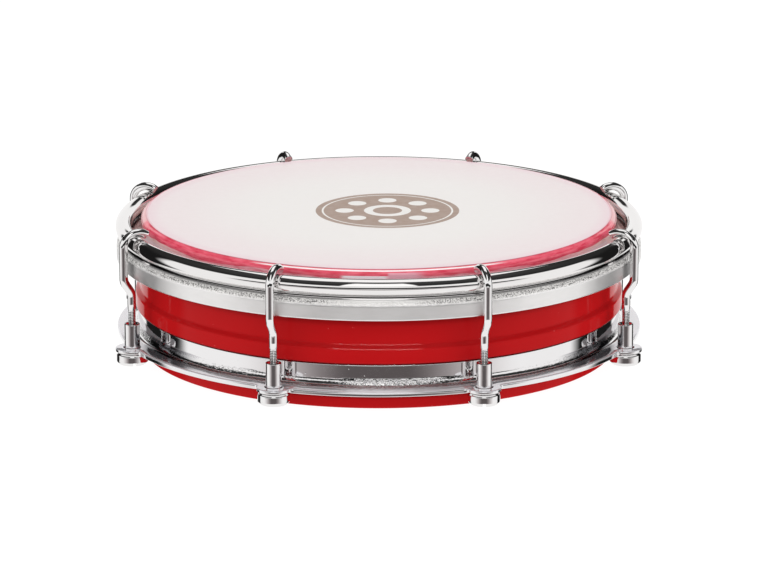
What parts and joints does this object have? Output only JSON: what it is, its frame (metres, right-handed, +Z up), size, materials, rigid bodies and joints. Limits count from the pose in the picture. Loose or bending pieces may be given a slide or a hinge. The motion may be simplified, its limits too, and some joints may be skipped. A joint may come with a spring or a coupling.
{
  "type": "frame drum",
  "caption": "Small one-headed frame drum: red plastic shell, translucent plastic head, chromed counter hoop, J-hooks, slotted tuning nuts and an eared tension ring under the shell's shoulder.",
  "frame": {"origin": "centre of the shell's lower rim, on the surface the drum stands on", "axes": "+Z up along the drum's axis, the head on top; -Y is the front, midway between two hooks"},
  "size_m": [0.1658, 0.1658, 0.045],
  "materials": {
    "shell_red_abs": "glossy moulded ABS, bright red through and through",
    "tension_ring_chrome": "bright chrome on pressed steel, wrinkled in the fillet under the band",
    "counter_hoop_chrome": "bright chrome on the rolled bead, softer on the skirt, orange-peel on the shoulder between them",
    "flesh_hoop_aluminium": "plain mill finish",
    "drumhead_film_plastic": "thin translucent milky polyester film that lets the red shell tint its edge, with a printed taupe disc",
    "tension_hook_chrome": "bright chrome on bent steel wire, threaded lower end",
    "tuning_nut_chrome": "bright chrome on turned steel"
  },
  "bodies": {
    "shell_assembly": {"shell": "shell_red_abs", "tension_ring": "tension_ring_chrome"},
    "head_assembly": {"counter_hoop": "counter_hoop_chrome", "flesh_hoop": "flesh_hoop_aluminium", "drumhead_film": "drumhead_film_plastic", "tension_hook_1": "tension_hook_chrome", "tension_hook_2": "tension_hook_chrome", "tension_hook_3": "tension_hook_chrome", "tension_hook_4": "tension_hook_chrome", "tension_hook_5": "tension_hook_chrome", "tension_hook_6": "tension_hook_chrome", "tension_hook_7": "tension_hook_chrome", "tension_hook_8": "tension_hook_chrome"},
    "nut_1": {"tuning_nut_1": "tuning_nut_chrome"},
    "nut_2": {"tuning_nut_2": "tuning_nut_chrome"},
    "nut_3": {"tuning_nut_3": "tuning_nut_chrome"},
    "nut_4": {"tuning_nut_4": "tuning_nut_chrome"},
    "nut_5": {"tuning_nut_5": "tuning_nut_chrome"},
    "nut_6": {"tuning_nut_6": "tuning_nut_chrome"},
    "nut_7": {"tuning_nut_7": "tuning_nut_chrome"},
    "nut_8": {"tuning_nut_8": "tuning_nut_chrome"}
  },
  "joints": [
    {"name": "head_tension", "type": "slide", "parent": "shell_assembly", "child": "head_assembly", "axis": [0, 0, 1], "range_m": [0, 0.003]},
    {"name": "nut_1_turn", "type": "hinge", "parent": "shell_assembly", "child": "nut_1", "pos_m": [0.03169, -0.0765, 0.0082], "axis": [0, 0, -1], "range_deg": [0, 2160]},
    {"name": "nut_2_turn", "type": "hinge", "parent": "shell_assembly", "child": "nut_2", "pos_m": [0.0765, -0.03169, 0.0082], "axis": [0, 0, -1], "range_deg": [0, 2160]},
    {"name": "nut_3_turn", "type": "hinge", "parent": "shell_assembly", "child": "nut_3", "pos_m": [0.0765, 0.03169, 0.0082], "axis": [0, 0, -1], "range_deg": [0, 2160]},
    {"name": "nut_4_turn", "type": "hinge", "parent": "shell_assembly", "child": "nut_4", "pos_m": [0.03169, 0.0765, 0.0082], "axis": [0, 0, -1], "range_deg": [0, 2160]},
    {"name": "nut_5_turn", "type": "hinge", "parent": "shell_assembly", "child": "nut_5", "pos_m": [-0.03169, 0.0765, 0.0082], "axis": [0, 0, -1], "range_deg": [0, 2160]},
    {"name": "nut_6_turn", "type": "hinge", "parent": "shell_assembly", "child": "nut_6", "pos_m": [-0.0765, 0.03169, 0.0082], "axis": [0, 0, -1], "range_deg": [0, 2160]},
    {"name": "nut_7_turn", "type": "hinge", "parent": "shell_assembly", "child": "nut_7", "pos_m": [-0.0765, -0.03169, 0.0082], "axis": [0, 0, -1], "range_deg": [0, 2160]},
    {"name": "nut_8_turn", "type": "hinge", "parent": "shell_assembly", "child": "nut_8", "pos_m": [-0.03169, -0.0765, 0.0082], "axis": [0, 0, -1], "range_deg": [0, 2160]}
  ],
  "couplings": [
    {"joint": "nut_1_turn", "follows": "head_tension", "rad_per_m": 12566},
    {"joint": "nut_2_turn", "follows": "head_tension", "rad_per_m": 12566},
    {"joint": "nut_3_turn", "follows": "head_tension", "rad_per_m": 12566},
    {"joint": "nut_4_turn", "follows": "head_tension", "rad_per_m": 12566},
    {"joint": "nut_5_turn", "follows": "head_tension", "rad_per_m": 12566},
    {"joint": "nut_6_turn", "follows": "head_tension", "rad_per_m": 12566},
    {"joint": "nut_7_turn", "follows": "head_tension", "rad_per_m": 12566},
    {"joint": "nut_8_turn", "follows": "head_tension", "rad_per_m": 12566}
  ]
}
